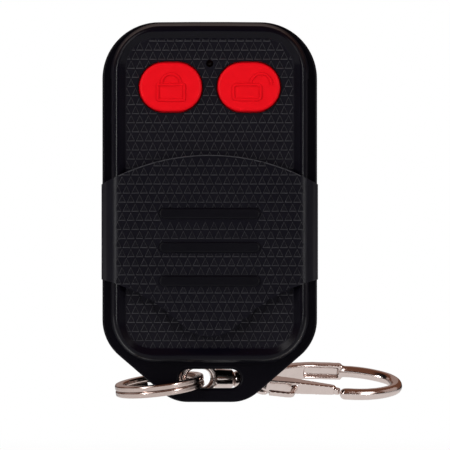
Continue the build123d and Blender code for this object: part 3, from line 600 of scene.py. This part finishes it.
def raised_line(shape, points, closed, level, width, height):
    """Adds a low bar with sloping sides along a path on a face that looks to -Y."""
    points = [Vector(p) for p in points]
    rings = []
    for point, side in zip(points, corner_offsets(points, closed)):
        ring = []
        for share, lift in BAR:
            spot = point + side * (share * width)
            ring.append(shape.verts.new((spot.x, level - lift * height, spot.y)))
        rings.append(ring)
    for i in range(len(rings) if closed else len(rings) - 1):
        first, second = rings[i], rings[(i + 1) % len(rings)]
        for j in range(3):
            shape.faces.new((first[j], first[j + 1], second[j + 1], second[j]))
    if not closed:
        shape.faces.new(rings[0])
        shape.faces.new(list(reversed(rings[-1])))


def line_mesh(name, lines, level, width, height):
    """A mesh of raised lines, each a path and whether it is closed."""
    shape = bmesh.new()
    for points, closed in lines:
        raised_line(shape, points, closed, level, width, height)
    return closed_mesh(name, shape)


def arch(centre, radius, start, end, parts=18):
    """Points along part of a circle, angles in degrees."""
    turn = [math.radians(start + (end - start) * i / parts) for i in range(parts + 1)]
    return [
        (centre[0] + radius * math.cos(a), centre[1] + radius * math.sin(a)) for a in turn
    ]


def rounded_box(left, low, right, high, corner, parts=4):
    """Points round a rectangle with rounded corners."""
    points = []
    for centre, start in (
        ((right - corner, low + corner), -90),
        ((right - corner, high - corner), 0),
        ((left + corner, high - corner), 90),
        ((left + corner, low + corner), 180),
    ):
        points += arch(centre, corner, start, start + 90, parts)
    return points


print("lines can be raised on a face that looks to -Y")

# %% The two padlocks
BUTTON_Y = -6.35 * MM
LINE_WIDTH, LINE_HEIGHT = 0.50 * MM, 0.24 * MM

for name, box, corner, shackle, body in (
    (
        "closed_padlock",
        (-8.71 * MM, 50.62 * MM, -4.26 * MM, 53.22 * MM),
        0.15 * MM,
        arch((-6.48 * MM, 53.40 * MM), 1.62 * MM, 0, 180),
        "lock_cap",
    ),
    (
        "open_padlock",
        (3.96 * MM, 50.70 * MM, 8.53 * MM, 53.22 * MM),
        0.55 * MM,
        arch((8.60 * MM, 53.30 * MM), 1.75 * MM, 0, 172),
        "unlock_cap",
    ),
):
    lines = [(rounded_box(*box, corner), True), (shackle, False)]
    padlock = line_mesh(name, lines, BUTTON_Y, LINE_WIDTH, LINE_HEIGHT)
    ridden(name, padlock, body, button_red)

# %% [markdown]
# ## The cover's highlighted edge
#
# A fine raised line runs along the top of the cover, where a thumb pushes it,
# and carries a painted highlight along that edge. The helper for raised lines
# draws it, along the same arc that the wedges keep clear of.

# %% A lip along the cover's top arc
LIP_HALF_LENGTH, LIP_INSET = 15.3 * MM, 0.13 * MM
LIP_WIDTH, LIP_HEIGHT = 0.20 * MM, 0.07 * MM
half_turn = math.degrees(math.asin(LIP_HALF_LENGTH / COVER_RADIUS))
top_edge = arch(
    (0, COVER_CENTRE), COVER_RADIUS - LIP_INSET, 90 + half_turn, 90 - half_turn, 48
)
lip = line_mesh("cover_lip", [(top_edge, False)], COVER_Y, LIP_WIDTH, LIP_HEIGHT)
# The lip takes the wedges' finish, so all of it is painted pale: a painted highlight
# along the edge.
ridden("cover_lip", lip, "cover", cover_wedges)

# %% [markdown]
# ## The hook, as it is cast
#
# A snap hook is cast in zinc and tumbled before it is plated, so none of its
# edges is sharp. The solids have the right forms with crisp edges. A bevel
# would need clean edges to run along, so each of the two castings is copied,
# rebuilt from small cells and smoothed, which rounds every edge alike, and
# then swollen by what the smoothing took off. The copy stands for the solid.

# %% Round every edge of a casting
CELL, SWELL = 0.10 * MM, 0.05 * MM


def cast(name, node, body, passes):
    """Replaces a solid with a copy of it that has rounded edges."""
    piece = ridden(name, nodes[node].data.copy(), body, nickel)
    cells = piece.modifiers.new("cells", "REMESH")
    cells.mode, cells.voxel_size, cells.use_smooth_shade = "VOXEL", CELL, True
    soft = piece.modifiers.new("soft", "SMOOTH")
    soft.factor, soft.iterations = 0.5, passes
    swell = piece.modifiers.new("swell", "DISPLACE")
    swell.strength, swell.mid_level = SWELL, 0.0
    bpy.context.view_layer.update()
    graph = bpy.context.evaluated_depsgraph_get()
    piece.data = bpy.data.meshes.new_from_object(piece.evaluated_get(graph))
    piece.modifiers.clear()
    piece.data.materials.clear()
    piece.data.materials.append(nickel.material)
    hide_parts(node)
    print(name, "has", len(piece.data.polygons), "faces")


cast("cast_hook", "hook_body", "hook", 70)
cast("cast_lever", "gate_lever", "gate", 24)

# %% [markdown]
# ## The studio
#
# The photograph shows the remote cut out on white, seen square from the front
# with a long lens. The floor is pale and mostly glows white for the camera, so
# it keeps only a soft shadow near the object and turns pure white towards its
# edges. It lies low enough for the hook to swing down without touching it. The
# world is white to the camera. In reflections it is white straight behind the
# object, a dim brown above and dark elsewhere, which keeps the black plastic
# black. The lamps are large and weak, and two narrow ones at the sides draw
# the bright lines along the rim.

# %% Floor
FLOOR_Z, FLOOR_SIDE, FLOOR_FRONT, FLOOR_BACK = -12 * MM, 0.9, -0.45, 1.1
GLOW_NEAR, GLOW_MIRRORED = 0.94, 0.70
floor_mesh = bpy.data.meshes.new("floor")
floor_mesh.from_pydata(
    [
        (-FLOOR_SIDE, FLOOR_FRONT, FLOOR_Z),
        (FLOOR_SIDE, FLOOR_FRONT, FLOOR_Z),
        (FLOOR_SIDE, FLOOR_BACK, FLOOR_Z),
        (-FLOOR_SIDE, FLOOR_BACK, FLOOR_Z),
    ],
    [],
    [(0, 1, 2, 3)],
)
floor = bpy.data.objects.new("floor", floor_mesh)
bpy.context.collection.objects.link(floor)
paper = Finish("paper", Roughness=0.9)
speck = paper.noise(4 * MM)
paper.set("Base Color", paper.tint(speck, (0.86, 0.86, 0.86), (0.90, 0.90, 0.90)))
seen = paper.ray("Is Camera Ray") + paper.ray("Is Transmission Ray")
away = paper.node(
    "ShaderNodeVectorMath", {"operation": "LENGTH"}, {0: paper.place}, output="Value"
)
near = paper.step(away, 0.16, 0.05)
far = paper.step(away, 0.10, 0.40)
shown = seen * (GLOW_NEAR + (1 - GLOW_NEAR) * far)
mirrored = paper.ray("Is Glossy Ray") * near * GLOW_MIRRORED
glow = paper.node("ShaderNodeEmission", None, {"Color": (1, 1, 1, 1), "Strength": 1.0})
mixed = paper.node(
    "ShaderNodeMixShader",
    None,
    {0: shown + mirrored, 1: Value(paper, paper.shader.outputs[0]), 2: glow},
)
paper.plug(paper.tree.nodes["Material Output"].inputs["Surface"], mixed)
floor_mesh.materials.append(paper.material)
print("floor of", floor.dimensions.x, "by", floor.dimensions.y, "m")

# %% World
WHITE, GREY = (1.0, 1.0, 1.0), (0.34, 0.34, 0.34)
DARK, BROWN = (0.020, 0.019, 0.026), (0.17, 0.075, 0.045)
world = bpy.data.worlds.new("studio")
bpy.context.scene.world = world
world.use_nodes = True
air = Graph(world.node_tree)
way = air.node("ShaderNodeTexCoord", output="Generated")
behind = air.step(air.along("Y", way), 0.97, 1.0)
overhead = air.step(air.along("Z", way), 0.04, 0.30)
mirror = air.tint(overhead, air.tint(behind, DARK, WHITE), BROWN)
plain = air.tint(air.ray("Is Glossy Ray"), GREY, mirror)
clear = air.ray("Is Camera Ray") + air.ray("Is Transmission Ray")
backdrop = air.tint(clear, plain, WHITE)
air.plug(world.node_tree.nodes["Background"].inputs["Color"], backdrop)
print("world has", len(world.node_tree.nodes), "nodes")

# %% Lamps
AIM = Vector((2.5 * MM, -2 * MM, 30 * MM))


def softbox(name, spot, width, height, power):
    """A rectangular lamp that looks at the middle of the object."""
    lamp = bpy.data.lights.new(name, "AREA")
    lamp.shape, lamp.size, lamp.size_y, lamp.energy = "RECTANGLE", width, height, power
    holder = bpy.data.objects.new(name, lamp)
    bpy.context.collection.objects.link(holder)
    holder.location = spot
    holder.rotation_mode = "QUATERNION"
    holder.rotation_quaternion = (Vector(spot) - AIM).to_track_quat("Z", "Y")
    print(name, "at", tuple(spot), power, "W")


softbox("key_left", (-0.42, -0.40, 0.48), 0.30, 0.40, 1.65)
softbox("fill_right", (0.46, -0.42, 0.34), 0.22, 0.36, 0.70)
softbox("strip_left", (-0.335, -0.372, 0.05), 0.06, 0.20, 1.1)
softbox("strip_right", (0.335, -0.372, 0.05), 0.06, 0.20, 0.85)
softbox("side_left", (-0.50, 0.02, 0.20), 0.30, 0.40, 0.12)
softbox("side_right", (0.50, 0.02, 0.20), 0.30, 0.40, 0.14)
softbox("behind", (-0.12, 0.50, 0.40), 0.60, 0.60, 0.25)

# %% [markdown]
# ## The camera
#
# The photograph is taken level, and nothing in it tapers, so the camera stands
# far off with a very long lens. The lens is picked so that the frame takes in
# 75.3 mm at the button face.

# %% Camera
FRAME_WIDTH = 75.33 * MM
DISTANCE, RISE = 2.6, math.radians(0.15)
LOOK_AT = Vector((2.56 * MM, -6.5 * MM, 29.71 * MM))
lens = bpy.data.cameras.new("camera")
lens.sensor_width = 36.0
lens.lens = lens.sensor_width * DISTANCE / FRAME_WIDTH
lens.clip_start, lens.clip_end = 0.05, 10.0
eye = bpy.data.objects.new("camera", lens)
bpy.context.collection.objects.link(eye)
back = Vector((0, -math.cos(RISE), math.sin(RISE)))
eye.location = LOOK_AT + back * DISTANCE
eye.rotation_mode = "QUATERNION"
eye.rotation_quaternion = back.to_track_quat("Z", "Y")
bpy.context.scene.camera = eye
bpy.context.scene.view_settings.view_transform = "Standard"
print("lens of", round(lens.lens, 1), "mm")

# %% [markdown]
# ## The end

# %% Finish
print("scene is dressed")
